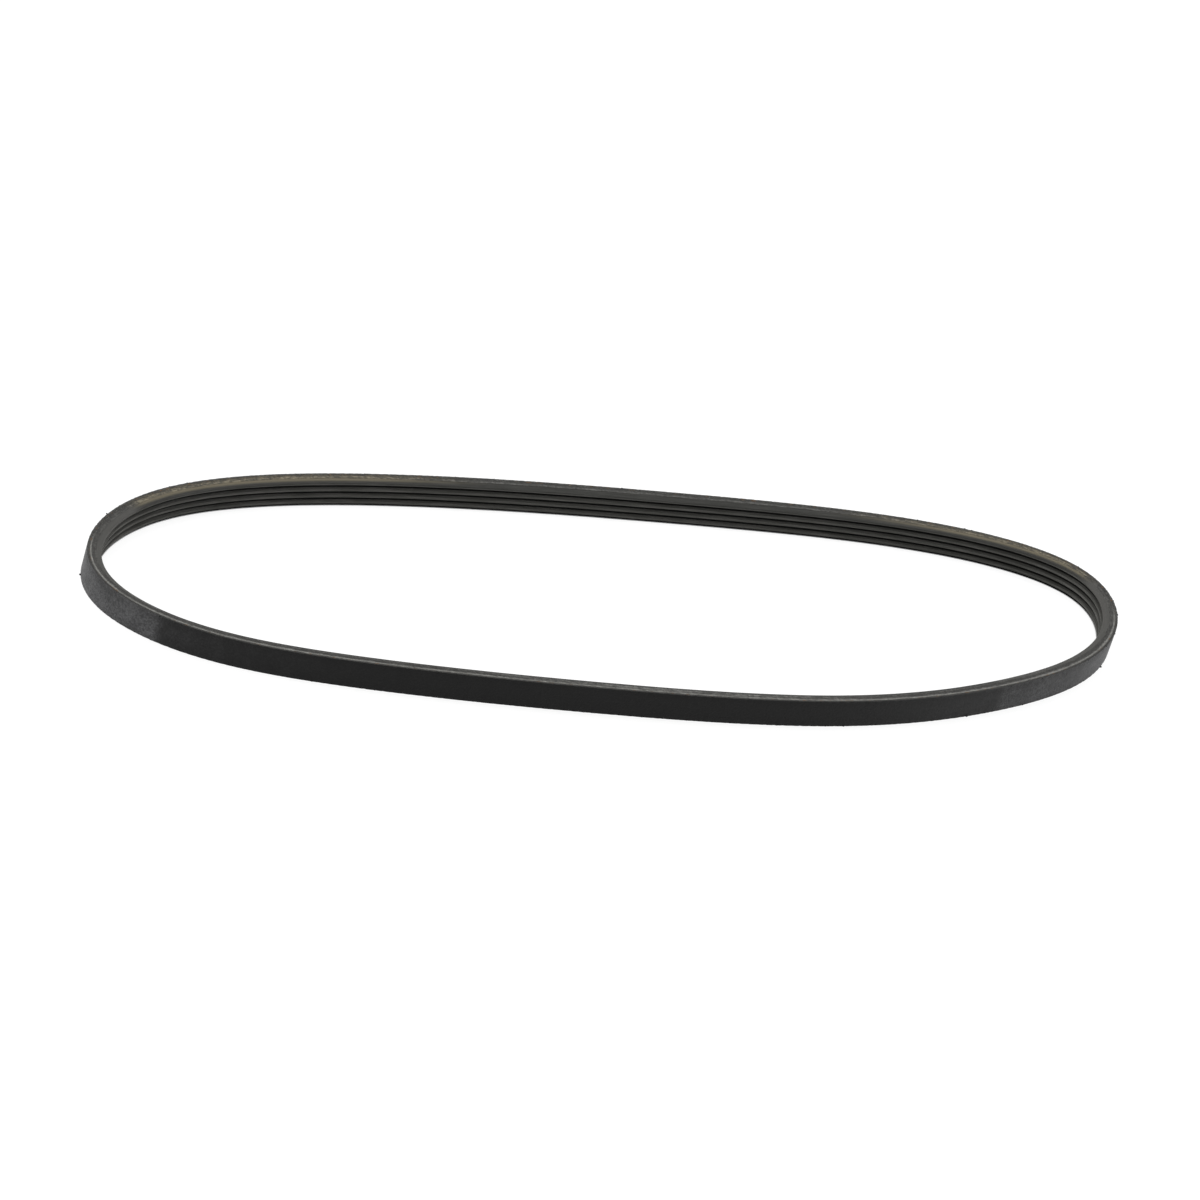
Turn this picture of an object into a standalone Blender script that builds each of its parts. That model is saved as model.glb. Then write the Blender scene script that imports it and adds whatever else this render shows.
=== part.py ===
"""Multi-rib alternator drive belt, standing on its lower cut edge as a free, slack loop.

One moulded piece of black rubber: a smooth outer back, square cut edges, and ribs with rounded tips
running round the inside. The loop lies flat in the XY plane, its width runs up Z from the surface it
stands on, and the middle of its outline is over the origin. Sizes are in metres.
"""
import math

import bmesh
import bpy
from mathutils import Vector

# Section of the belt, the standard multi-rib profile.
RIB_COUNT = 4
RIB_PITCH = 0.00356
RIB_HEIGHT = 0.0029
RIB_FLANK_ANGLE = math.radians(20.0)
RIB_TIP_RADIUS = 0.0005
GROOVE_ROOT_RADIUS = 0.00025
BAND_THICKNESS = 0.0046
BACK_CORNER_RADIUS = 0.00015

# The slack loop seen from above, measured over the belt's outer back.
LOOP_LENGTH = 0.541
LOOP_WIDTH = 0.180

# Guides of the closed cubic spline that the back follows, as shares of half that length and width.
LOOP_GUIDES = [
    (-0.854, 0.759),
    (-1.062, -0.121),
    (-0.894, -0.727),
    (-0.591, -0.912),
    (-0.135, -1.000),
    (0.342, -1.014),
    (0.689, -0.734),
    (0.976, -0.268),
    (1.043, 0.583),
    (0.722, 0.961),
    (0.232, 1.004),
    (-0.329, 1.003),
]

# How finely the loop is stepped: at most this far, and at most this much turn, per step.
STEP_LENGTH = 0.030
STEP_TURN = math.radians(6.0)

# Straight facets that stand for each rounded corner of the section.
TIP_FACETS = 2
ROOT_FACETS = 1
BACK_CORNER_FACETS = 1

# Points of the section that lie closer together than this are one point.
MERGE_DISTANCE = 0.000001

RUBBER_COLOUR = (0.022, 0.022, 0.021, 1.0)
RUBBER_ROUGHNESS = 0.62


def clear_scene():
    """Removes whatever objects the file opened with."""
    for obj in list(bpy.data.objects):
        bpy.data.objects.remove(obj, do_unlink=True)


def rubber_material():
    """Returns the belt's black rubber."""
    material = bpy.data.materials.new("belt_rubber")
    material.use_nodes = True
    shader = material.node_tree.nodes["Principled BSDF"]
    shader.inputs["Base Color"].default_value = RUBBER_COLOUR
    shader.inputs["Roughness"].default_value = RUBBER_ROUGHNESS
    shader.inputs["Metallic"].default_value = 0.0
    material.diffuse_color = RUBBER_COLOUR
    return material


def fillet(before, corner, after, radius, facets):
    """Returns the points of an arc that rounds a corner between two straight sides."""
    to_before = (before - corner).normalized()
    to_after = (after - corner).normalized()
    half = to_before.angle(to_after) / 2.0
    run = radius / math.tan(half)
    centre = corner + (to_before + to_after).normalized() * (radius / math.sin(half))
    start = corner + to_before * run - centre
    end = corner + to_after * run - centre
    points = []
    for i in range(facets + 1):
        share = i / facets
        arm = (start * (1.0 - share) + end * share).normalized() * radius
        points.append(centre + arm)
    return points


def belt_section():
    """Returns the section's outline as (depth in from the back, height) points.

    The belt is slit from a wider sleeve through the middle of a groove, so each cut edge is square
    from the back to the depth of the groove roots, and the outer rib's flank starts there.
    """
    width = RIB_COUNT * RIB_PITCH
    tip_depth = BAND_THICKNESS + RIB_HEIGHT
    flank_run = RIB_HEIGHT * math.tan(RIB_FLANK_ANGLE)
    # A root arc that touches both flanks leaves this much of the pitch on each side of its middle.
    root_half = GROOVE_ROOT_RADIUS * math.tan(math.radians(45.0) - RIB_FLANK_ANGLE / 2.0)
    back = (BACK_CORNER_RADIUS, BACK_CORNER_FACETS)
    root = (GROOVE_ROOT_RADIUS, ROOT_FACETS)
    tip = (RIB_TIP_RADIUS, TIP_FACETS)
    square = (0.0, 0)
    corners = [(Vector((0.0, 0.0)), back), (Vector((0.0, width)), back)]
    corners.append((Vector((BAND_THICKNESS, width)), square))
    for rib in reversed(range(RIB_COUNT)):
        top = (rib + 1) * RIB_PITCH
        bottom = rib * RIB_PITCH
        corners.append((Vector((BAND_THICKNESS, top - root_half)), root))
        corners.append((Vector((tip_depth, top - root_half - flank_run)), tip))
        corners.append((Vector((tip_depth, bottom + root_half + flank_run)), tip))
        corners.append((Vector((BAND_THICKNESS, bottom + root_half)), root))
    corners.append((Vector((BAND_THICKNESS, 0.0)), square))
    outline = []
    for i, (corner, (radius, facets)) in enumerate(corners):
        before = corners[i - 1][0]
        after = corners[(i + 1) % len(corners)][0]
        if radius > 0.0:
            outline.extend(fillet(before, corner, after, radius, facets))
        else:
            outline.append(corner)
    return merge_close(outline)


def merge_close(points):
    """Drops each point that lies on top of the one before it."""
    kept = []
    for point in points:
        if not kept or (point - kept[-1]).length > MERGE_DISTANCE:
            kept.append(point)
    if (kept[0] - kept[-1]).length <= MERGE_DISTANCE:
        kept.pop()
    return kept


def loop_point(guides, turn):
    """Returns the place, direction and curvature on the closed cubic spline, turn running 0 to 1."""
    count = len(guides)
    index, u = divmod(turn * count, 1.0)
    index = int(index)
    near = [guides[(index - 1 + k) % count] for k in range(4)]
    place = ((1 - u) ** 3, 3 * u ** 3 - 6 * u ** 2 + 4, -3 * u ** 3 + 3 * u ** 2 + 3 * u + 1, u ** 3)
    speed = (-3 * (1 - u) ** 2, 9 * u ** 2 - 12 * u, -9 * u ** 2 + 6 * u + 3, 3 * u ** 2)
    bend = (6 * (1 - u), 18 * u - 12, -18 * u + 6, 6 * u)
    point = sum((g * w for g, w in zip(near, place)), Vector((0.0, 0.0))) / 6.0
    first = sum((g * w for g, w in zip(near, speed)), Vector((0.0, 0.0))) / 6.0
    second = sum((g * w for g, w in zip(near, bend)), Vector((0.0, 0.0))) / 6.0
    curvature = (first.x * second.y - first.y * second.x) / first.length ** 3
    return point, first, curvature


def sized_guides(fine):
    """Returns the guides in metres, sized so that the spline's outline has the loop's two sizes."""
    shares = [Vector(share) for share in LOOP_GUIDES]
    points = [loop_point(shares, i / fine)[0] for i in range(fine)]
    xs = [point.x for point in points]
    ys = [point.y for point in points]
    scale_x = LOOP_LENGTH / (max(xs) - min(xs))
    scale_y = LOOP_WIDTH / (max(ys) - min(ys))
    return [Vector((share.x * scale_x, share.y * scale_y)) for share in shares]


def loop_stations():
    """Returns (place, inward normal) round the loop, closer together where it bends more."""
    fine = 240 * len(LOOP_GUIDES)
    guides = sized_guides(fine)
    travelled = [0.0]
    for i in range(fine):
        _, first, curvature = loop_point(guides, (i + 0.5) / fine)
        length = first.length * len(guides) / fine
        travelled.append(travelled[-1] + length / STEP_LENGTH + abs(curvature) * length / STEP_TURN)
    count = math.ceil(travelled[-1])
    stations = []
    cell = 0
    for i in range(count):
        wanted = travelled[-1] * i / count
        while travelled[cell + 1] < wanted:
            cell += 1
        share = (wanted - travelled[cell]) / (travelled[cell + 1] - travelled[cell])
        point, first, _ = loop_point(guides, (cell + share) / fine)
        direction = first.normalized()
        stations.append((point, Vector((-direction.y, direction.x))))
    return stations


def build_belt():
    """Sweeps the section round the loop into one closed body."""
    section = belt_section()
    stations = loop_stations()
    xs = [place.x for place, _ in stations]
    ys = [place.y for place, _ in stations]
    middle = Vector(((min(xs) + max(xs)) / 2.0, (min(ys) + max(ys)) / 2.0))

    mesh = bpy.data.meshes.new("ribbed_belt")
    bm = bmesh.new()
    rings = []
    for place, inward in stations:
        ring = []
        for depth, height in section:
            across = place - middle + inward * depth
            ring.append(bm.verts.new((across.x, across.y, height)))
        rings.append(ring)
    for i, ring in enumerate(rings):
        following = rings[(i + 1) % len(rings)]
        for j in range(len(section)):
            k = (j + 1) % len(section)
            bm.faces.new((ring[j], following[j], following[k], ring[k]))
    bmesh.ops.recalc_face_normals(bm, faces=bm.faces)
    bm.to_mesh(mesh)
    bm.free()
    mesh.shade_smooth()
    mesh.set_sharp_from_angle(angle=math.radians(40.0))
    mesh.materials.append(rubber_material())
    belt = bpy.data.objects.new("ribbed_belt", mesh)
    bpy.context.scene.collection.objects.link(belt)
    return belt


def main():
    clear_scene()
    build_belt()


if __name__ == "__main__":
    main()
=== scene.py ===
"""The looks of a multi-rib alternator belt that stands on its lower cut edge as a slack loop.

Laid out as an add-on: settings with their units, an operator for the belt's rubber skin, one for the
cord ends frayed along the cut edges, one for the crumbs of moulding flash, and one for the stage.
Sizes are in metres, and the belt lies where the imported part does.
"""
import math

import bmesh
import bpy
import numpy as np
from bpy.props import FloatProperty, FloatVectorProperty, IntProperty, PointerProperty
from bpy.types import Operator, Panel, PropertyGroup
from mathutils import Matrix, Vector


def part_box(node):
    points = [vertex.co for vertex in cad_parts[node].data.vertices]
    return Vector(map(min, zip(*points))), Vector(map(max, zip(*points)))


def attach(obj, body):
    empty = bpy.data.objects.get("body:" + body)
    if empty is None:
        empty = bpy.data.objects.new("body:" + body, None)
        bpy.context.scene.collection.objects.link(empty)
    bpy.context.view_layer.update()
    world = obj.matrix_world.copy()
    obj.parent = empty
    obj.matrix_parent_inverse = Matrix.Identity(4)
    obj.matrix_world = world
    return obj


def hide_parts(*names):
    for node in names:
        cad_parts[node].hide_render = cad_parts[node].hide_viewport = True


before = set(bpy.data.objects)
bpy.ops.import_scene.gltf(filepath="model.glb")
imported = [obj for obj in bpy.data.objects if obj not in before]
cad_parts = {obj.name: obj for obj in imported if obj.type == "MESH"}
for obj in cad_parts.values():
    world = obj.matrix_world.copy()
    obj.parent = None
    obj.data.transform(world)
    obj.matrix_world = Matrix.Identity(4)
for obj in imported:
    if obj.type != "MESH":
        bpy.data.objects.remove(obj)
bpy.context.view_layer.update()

bl_info = {
    "name": "Ribbed drive belt",
    "version": (1, 0, 0),
    "blender": (4, 5, 0),
    "location": "3D View > Sidebar > Belt",
    "description": "Builds the skin, frayed cords and studio stage of a multi-rib rubber drive belt",
    "category": "Mesh",
}

BELT_LOW, BELT_HIGH = (np.array(corner, dtype=float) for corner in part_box("ribbed_belt"))
BELT_WIDTH = float(BELT_HIGH[2] - BELT_LOW[2])

# Guides of the closed cubic spline that the belt's outer back follows, seen from above, as shares of
# half the loop's length and width.
LOOP_GUIDES = np.array([
    (-0.854, 0.759),
    (-1.062, -0.121),
    (-0.894, -0.727),
    (-0.591, -0.912),
    (-0.135, -1.000),
    (0.342, -1.014),
    (0.689, -0.734),
    (0.976, -0.268),
    (1.043, 0.583),
    (0.722, 0.961),
    (0.232, 1.004),
    (-0.329, 1.003),
])

# Nibs of flash: how far along the loop each stands, and 1 for the upper corner or -1 for the lower.
NIB_PLACES = np.array([(0.0460, 1.0), (0.0830, -1.0), (0.7080, 1.0), (0.6640, -1.0)])

# Kinds of face, which are also the skin's material numbers.
BACK, CUT_EDGE, RIBS = 0, 1, 2

# Points along each rounding of the section, along its back and its cut edges, and in the loop's table.
BEND_POINTS, ROOT_POINTS, TIP_POINTS = 4, 3, 4
BACK_POINTS, EDGE_POINTS, TABLE_POINTS = 6, 11, 12001

# How far, in metres, each unevenness moves the skin.
BACK_WAVE, TIP_WEAR, CORNER_NICK = 0.00007, 0.00008, 0.00030
CUT_BASE, CUT_SLOW, CUT_ROUGH = 0.00002, 0.00003, 0.00004

# Reach of the back's unevenness inwards, of a corner's nicks over the back, of the cut edge's plane,
# and the softness of the cord layer's sides.
BACK_REACH, CORNER_REACH, EDGE_REACH, CORD_SOFTNESS = 0.0004, 0.00035, 0.0002, 0.00006

# Stretches of the loop, in metres along it, over which the masks of bloom with painted sheen and of tan
# tint rise or fall.
LEFT_THICK, LEFT_BEHIND = (0.070, 0.140), (1.10, 1.16)
RIGHT_THICK, RIGHT_STOP = (0.600, 0.690), (0.78, 0.86)
TAN_LEFT_RISE, TAN_LEFT_STOP = (1.05, 1.13), (0.020, 0.036)
TAN_RIGHT_RISE, TAN_RIGHT_STOP = (0.720, 0.738), (0.80, 0.88)

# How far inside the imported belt's box every point stays.
BOX_MARGIN = 0.00001

# Y at which the near side of the loop gives way to the far side.
FRONT_Y = (-0.035, 0.030)

# Shares of the bloom, which is partly painted sheen of the side soft boxes: what starts at its border, its
# thin tail, and what is added further on.
BLOOM_AND_SHEEN_STEP = 0.62
LEFT_TAIL, LEFT_MORE = 0.13, 0.25
RIGHT_TAIL, RIGHT_MORE = 0.18, 0.20


def metres(**values):
    """A setting that is a length."""
    return FloatProperty(unit="LENGTH", precision=6, **values)


def tone(**values):
    """A setting that is a colour with its alpha."""
    return FloatVectorProperty(subtype="COLOR", size=4, min=0.0, max=1.0, **values)


class BeltShapeSettings(PropertyGroup):
    """Sizes of the belt's section and how finely its skin is drawn."""

    rib_count: IntProperty(name="Ribs", description="Ribs side by side inside the belt", default=4, min=1)
    band_thickness: metres(
        name="Band thickness", description="Depth from the back to the groove roots", default=0.0046)
    rib_height: metres(
        name="Rib height", description="Depth from a groove root to a rib tip", default=0.0029)
    flank_angle: FloatProperty(name="Flank angle", description="Lean of each rib flank",
        default=math.radians(20.0), subtype="ANGLE")
    tip_radius: metres(name="Tip radius", description="Rounding of each rib tip", default=0.0005)
    root_radius: metres(
        name="Root radius", description="Rounding at the bottom of each groove", default=0.00025)
    corner_radius: metres(
        name="Back corner radius", description="Rounding between the back and a cut edge", default=0.00015)
    skin_inset: metres(
        name="Skin inset", description="How far the skin lies inside the belt's nominal size",
        default=0.00006)
    stations: IntProperty(
        name="Stations", description="Rings of points round the loop", default=1070, min=60)


class CordSettings(PropertyGroup):
    """Sizes of the cord layer that shows on the cut edges, and of its frayed ends."""

    layer_start: metres(
        name="Cord layer start", description="Depth from the back to the cord layer", default=0.0013)
    layer_end: metres(
        name="Cord layer end", description="Depth from the back to the far side of the cord layer",
        default=0.0024)
    recess: metres(
        name="Recess", description="How far the cord layer is cut back below the edge", default=0.00012)
    fibre_count: IntProperty(
        name="Fibres per edge", description="Loose fibres along each cut edge", default=700, min=0)
    fibre_radius: metres(
        name="Fibre radius", description="Half the thickness of a loose fibre bundle", default=0.00004)
    fibre_length: metres(
        name="Fibre length", description="Usual length of a loose fibre bundle", default=0.0016)
    crumb_count: IntProperty(
        name="Flash crumbs", description="Crumbs of moulding flash on the edges", default=70, min=0)
    crumb_size: metres(
        name="Crumb size", description="Usual size of a crumb of moulding flash", default=0.00028)
    nib_size: metres(
        name="Nib size", description="Half the size of a nib of flash that stands out from the back",
        default=0.00045)


class FinishSettings(PropertyGroup):
    """Colours of the rubber and the cord layer, and where bloom with painted sheen and tan tint lie round
    the loop.
    """

    back_colour: tone(
        name="Back", description="Smooth rubber of the belt's back", default=(0.0045, 0.0045, 0.0044, 1.0))
    back_pale: tone(name="Back mottling", description="Paler mottling of the back",
        default=(0.0125, 0.0125, 0.0123, 1.0))
    # The bloom colour is partly dust bloom and partly painted sheen of the side soft boxes on the back's
    # ends.
    bloom_and_sheen_colour: tone(name="Bloom", description="Grey bloom on the back at the loop's ends",
        default=(0.086, 0.086, 0.088, 1.0))
    rib_colour: tone(
        name="Ribs", description="Ground rubber of the rib faces", default=(0.050, 0.050, 0.045, 1.0))
    rib_pale: tone(name="Rib streaks", description="Grinding streaks along the ribs",
        default=(0.100, 0.098, 0.092, 1.0))
    cover_colour: tone(
        name="Cover", description="Fuzzy cut cloth next to the back", default=(0.150, 0.148, 0.140, 1.0))
    cord_colour: tone(name="Cord line", description="Pale line of cut cord along the edge",
        default=(0.215, 0.213, 0.200, 1.0))
    edge_colour: tone(name="Cut rubber", description="Cut rubber between the cord line and the ribs",
        default=(0.078, 0.0765, 0.072, 1.0))
    khaki_colour: tone(name="Khaki", description="Tan tint of the cut edge towards the loop's ends",
        default=(0.215, 0.188, 0.132, 1.0))
    fleck_colour: tone(
        name="Flecks", description="Brown flecks of cord adhesive", default=(0.115, 0.065, 0.032, 1.0))
    # Where the bloom with its painted sheen stops, starts, blends and fades round the loop.
    bloom_and_sheen_left: metres(
        name="Left bloom", description="Length along the loop at which the left end's bloom stops",
        default=0.144)
    bloom_and_sheen_right: metres(
        name="Right bloom", description="Length along the loop at which the right end's bloom starts",
        default=0.577)
    bloom_and_sheen_border: metres(name="Bloom border", description="Width of the bloom's border", default=0.006)
    bloom_and_sheen_tail: metres(
        name="Bloom tail", description="Length over which the thin bloom past the border fades",
        default=0.110)


class StageSettings(PropertyGroup):
    """Camera, lamps and floor."""

    aim: FloatVectorProperty(
        name="Aim", description="Point that the camera looks at", subtype="XYZ", unit="LENGTH", size=3,
        default=(-0.00577, 0.00877, 0.0))
    distance: metres(name="Distance", description="Camera to aim", default=2.90385)
    heading: FloatProperty(
        name="Heading", description="Direction of view over the floor, from +X towards +Y",
        default=math.radians(65.15), subtype="ANGLE")
    elevation: FloatProperty(name="Elevation", description="How steeply the camera looks down",
        default=math.radians(30.5825), subtype="ANGLE")
    roll: FloatProperty(name="Roll", description="Turn of the camera about its own axis",
        default=math.radians(17.39), subtype="ANGLE")
    lens: FloatProperty(name="Lens", description="Focal length", default=180.0, unit="CAMERA")
    floor_size: metres(name="Floor size", description="Side of the square floor", default=9.0)
    floor_colour: tone(name="Floor", description="Plain pale floor", default=(0.80, 0.80, 0.80, 1.0))
    ambient: FloatProperty(
        name="Ambient", description="Strength of the even light from all round", default=0.22)
    top_power: FloatProperty(
        name="Top box", description="Power of the soft box overhead", default=19.0, unit="POWER")
    left_power: FloatProperty(name="Left box", description="Power of the soft box at the loop's left end",
        default=19.0, unit="POWER")
    right_power: FloatProperty(
        name="Right box", description="Power of the soft box at the loop's right end",
        default=15.0, unit="POWER")


def settings():
    """Returns the scene's belt settings."""
    return bpy.context.scene.belt


class BeltSettings(PropertyGroup):
    """All settings of the belt and its stage."""

    shape: PointerProperty(type=BeltShapeSettings)
    cords: PointerProperty(type=CordSettings)
    finish: PointerProperty(type=FinishSettings)
    stage: PointerProperty(type=StageSettings)


# The loop.


def spline(turn):
    """Places and directions on the closed cubic spline, turn running from 0 to 1.

    Each point is the sum of four neighbouring guides, weighted by the uniform cubic blending
    polynomials of the share u of the way to the next guide; the direction is its derivative.
    """
    count = len(LOOP_GUIDES)
    along = np.mod(turn, 1.0) * count
    index = np.floor(along).astype(int)
    u = along - index
    place = np.stack([(1 - u) ** 3, 3 * u ** 3 - 6 * u ** 2 + 4,
                      -3 * u ** 3 + 3 * u ** 2 + 3 * u + 1, u ** 3])
    speed = np.stack([-3 * (1 - u) ** 2, 9 * u ** 2 - 12 * u, -9 * u ** 2 + 6 * u + 3, 3 * u ** 2])
    guides = LOOP_GUIDES[(index[None, :] - 1 + np.arange(4)[:, None]) % count]
    points = (place[:, :, None] * guides).sum(axis=0) / 6.0
    rates = (speed[:, :, None] * guides).sum(axis=0) / 6.0
    return points, rates


def loop_table():
    """Fine table of the loop: length along the back, turn, the outline's middle and its scale.

    The scale stretches the spline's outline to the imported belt's length and width, and the length
    is the running sum of the straight steps between 12,000 points of the stretched spline.
    """
    turn = np.linspace(0.0, 1.0, TABLE_POINTS)
    points, _ = spline(turn)
    low, high = points.min(axis=0), points.max(axis=0)
    scale = (BELT_HIGH - BELT_LOW)[:2] / (high - low)
    steps = np.linalg.norm(np.diff(points, axis=0) * scale, axis=1)
    length = np.concatenate([[0.0], np.cumsum(steps)])
    return length, turn, (low + high) / 2.0, scale


LENGTH_TABLE, TURN_TABLE, SPLINE_MIDDLE, SPLINE_SCALE = loop_table()
LOOP_LENGTH = float(LENGTH_TABLE[-1])
BELT_MIDDLE = (BELT_LOW[:2] + BELT_HIGH[:2]) / 2.0


def loop_at(length):
    """Place on the belt's back and inward normal at each length along the loop.

    The normal is the direction of travel turned a quarter to the left, and the loop's middle is
    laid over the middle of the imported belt.
    """
    turn = np.interp(np.mod(length, LOOP_LENGTH), LENGTH_TABLE, TURN_TABLE)
    points, rates = spline(turn)
    rates = rates * SPLINE_SCALE
    rates = rates / np.linalg.norm(rates, axis=1)[:, None]
    inward = np.stack([-rates[:, 1], rates[:, 0]], axis=1)
    return (points - SPLINE_MIDDLE) * SPLINE_SCALE + BELT_MIDDLE, inward


def carry(place, inward, depth, height, aside=0.0):
    """Points on the belt: place + inward normal x depth + a step aside, and the height for Z.

    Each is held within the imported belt's box, a hundredth of a millimetre in from it.
    """
    flat = place[..., None, :] + inward[..., None, :] * depth[..., None] + aside
    points = np.concatenate([flat, np.broadcast_to(height, depth.shape)[..., None]], axis=-1)
    return np.clip(points, BELT_LOW + BOX_MARGIN, BELT_HIGH - BOX_MARGIN)


def ripple(length, across, waves, seed):
    """Smooth unevenness between 0 and 1 that closes round the loop.

    It is the mean of cosines, each with a whole number of waves round the loop, a wave number
    across the section in waves per metre, and a phase of its own.
    """
    rng = np.random.default_rng(seed)
    total = np.zeros(np.broadcast(length, across).shape)
    for around, sideways in waves:
        phase = rng.uniform(0.0, 2.0 * math.pi)
        turns = around * length / LOOP_LENGTH + sideways * across
        total = total + np.cos(2.0 * math.pi * turns + phase)
    return 0.5 + 0.5 * total / len(waves)


# The section.


def rib_profile(pitch, band, height, flank, tip_radius, root_radius):
    """Half a rib from the groove's middle to the rib's middle, as (distance from rib middle, depth).

    A root arc of 90 degrees less the flank's lean, a straight flank, and a tip arc of the same
    angle, each tangent to the next, then the flat tip.
    """
    sweep = math.pi / 2.0 - flank
    root_half = root_radius * math.tan(sweep / 2.0)
    flat = pitch / 2.0 - root_half - height * math.tan(flank) - tip_radius * math.tan(sweep / 2.0)
    angle = np.linspace(0.0, sweep, ROOT_POINTS)
    root_x = pitch / 2.0 - root_radius * np.sin(angle)
    root_d = band + root_radius * (1.0 - np.cos(angle))
    angle = np.linspace(sweep, 0.0, TIP_POINTS)
    tip_x = flat + tip_radius * np.sin(angle)
    tip_d = band + height - tip_radius * (1.0 - np.cos(angle))
    middle_x = (root_x[-1] + tip_x[0]) / 2.0
    middle_d = (root_d[-1] + tip_d[0]) / 2.0
    x = np.concatenate([root_x, [middle_x], tip_x])
    d = np.concatenate([root_d, [middle_d], tip_d])
    return x, d


def section_outline(shape):
    """Closed outline of the belt's section: depth in from the back, height, and the kind of face.

    It runs up the back, in across the upper cut edge, down over the ribs and out across the lower
    edge. The kind belongs to the face that starts at each point.
    """
    width = BELT_WIDTH
    corner = shape.corner_radius
    band = shape.band_thickness
    pitch = width / shape.rib_count
    bend = np.linspace(0.0, math.pi / 2.0, BEND_POINTS)
    falling, rising = corner * (1.0 - np.sin(bend)), corner * (1.0 - np.cos(bend))
    straight = np.linspace(corner, width - corner, BACK_POINTS)[1:-1]
    across = np.linspace(corner, band, EDGE_POINTS)[1:-1]
    runs = [(falling, rising, BACK), (0.0, straight, BACK), (rising[:-1], width - falling[:-1], BACK),
            (rising[-1:], width - falling[-1:], CUT_EDGE), (across, width, CUT_EDGE)]
    half_x, half_d = rib_profile(pitch, band, shape.rib_height, shape.flank_angle,
                                 shape.tip_radius, shape.root_radius)
    rib_x = np.concatenate([-half_x, half_x[::-1][:-1]])
    rib_d = np.concatenate([half_d, half_d[::-1][:-1]])
    for rib in range(shape.rib_count):
        runs.append((rib_d, width - (rib + 0.5) * pitch - rib_x, RIBS))
    runs.append((np.append(band, across[::-1]), 0.0, CUT_EDGE))
    pieces = [np.broadcast_arrays(*run) for run in runs]
    return tuple(np.concatenate(part) for part in zip(*pieces))


def cord_band(depth, cords):
    """1 in the cord layer and 0 outside it: a logistic rise at its start times a fall at its end."""
    rise = 1.0 / (1.0 + np.exp(-(depth - cords.layer_start) / CORD_SOFTNESS))
    fall = 1.0 / (1.0 + np.exp((depth - cords.layer_end) / CORD_SOFTNESS))
    return rise * fall


def skin_grid(shape, cords):
    """The skin's points: the section carried round the loop, and each point's own values.

    Place = back line + inward normal x depth, height up Z. The depth and the height are then eased
    inwards by a small inset, by slow waves in the rubber, by nicks along the back's corners and by
    the cord layer's recess.
    """
    depth0, height0, kind = section_outline(shape)
    across = np.concatenate([[0.0], np.cumsum(np.hypot(np.diff(depth0), np.diff(height0)))])
    length = np.arange(shape.stations) / shape.stations * LOOP_LENGTH
    place, inward = loop_at(length)
    s = length[:, None]
    v = across[None, :]
    depth = np.broadcast_to(depth0, (length.size, depth0.size)).copy()
    height = np.broadcast_to(height0, depth.shape).copy()

    on_back = np.clip(1.0 - depth / BACK_REACH, 0.0, 1.0)
    slow = ripple(s, v, [(7, 20), (13, 0), (23, -35), (41, 50), (67, 12)], 3)
    depth += on_back * (shape.skin_inset + BACK_WAVE * slow)

    from_edge = np.minimum(height0, BELT_WIDTH - height0)
    corner = on_back * np.exp(-(from_edge / CORNER_REACH) ** 2)[None, :]
    teeth = ripple(s, v, [(271, 0), (389, 60), (523, 0), (613, -90), (811, 40)], 4)
    depth += corner * CORNER_NICK * np.clip(2.2 * teeth - 1.0, 0.0, 1.0)

    tips = np.clip((depth0 - shape.band_thickness) / shape.rib_height, 0.0, 1.0)[None, :]
    worn = ripple(s, v, [(9, 0), (17, 30), (31, -60), (71, 90)], 5)
    depth -= tips * (shape.skin_inset + TIP_WEAR * worn)

    edge = (from_edge < EDGE_REACH)[None, :] * 1.0
    ragged = ripple(s, v, [(53, 200), (97, -330), (151, 410), (223, -520), (311, 300), (401, -700)], 8)
    low = ripple(s, v, [(5, 0), (11, 0), (19, 40)], 9)
    cut = edge * (CUT_BASE + CUT_SLOW * low + CUT_ROUGH * ragged)
    cut = cut + edge * cord_band(depth0, cords)[None, :] * cords.recess * (0.55 + 0.45 * ragged)
    height -= np.sign(height0 - BELT_WIDTH / 2.0)[None, :] * cut
    return carry(place, inward, depth, BELT_LOW[2] + height), length, across, depth0, kind


# Meshes.


def mesh_from_arrays(name, points, faces, materials):
    """Makes a mesh object at the origin from point and face arrays."""
    mesh = bpy.data.meshes.new(name)
    mesh.from_pydata(points, [], faces)
    mesh.update()
    for material in materials:
        mesh.materials.append(material)
    piece = bpy.data.objects.new(name, mesh)
    bpy.context.scene.collection.objects.link(piece)
    return piece


def grid_quads(rows, columns, closed):
    """Quads of a grid of points numbered row by row, closed into rings both ways or left open."""
    i = np.arange(rows - 1 + closed)[:, None]
    j = np.arange(columns - 1 + closed)[None, :]
    this, following, beside = i * columns, (i + 1) % rows * columns, (j + 1) % columns
    quads = [this + j, following + j, following + beside, this + beside]
    return np.stack(quads, axis=-1).reshape(-1, 4)


def smooth_step(value, low, high):
    """0 below the low limit, 1 above the high one, and the cubic 3t^2 - 2t^3 of the share t between."""
    t = np.clip((value - low) / (high - low), 0.0, 1.0)
    return t * t * (3.0 - 2.0 * t)


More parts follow.
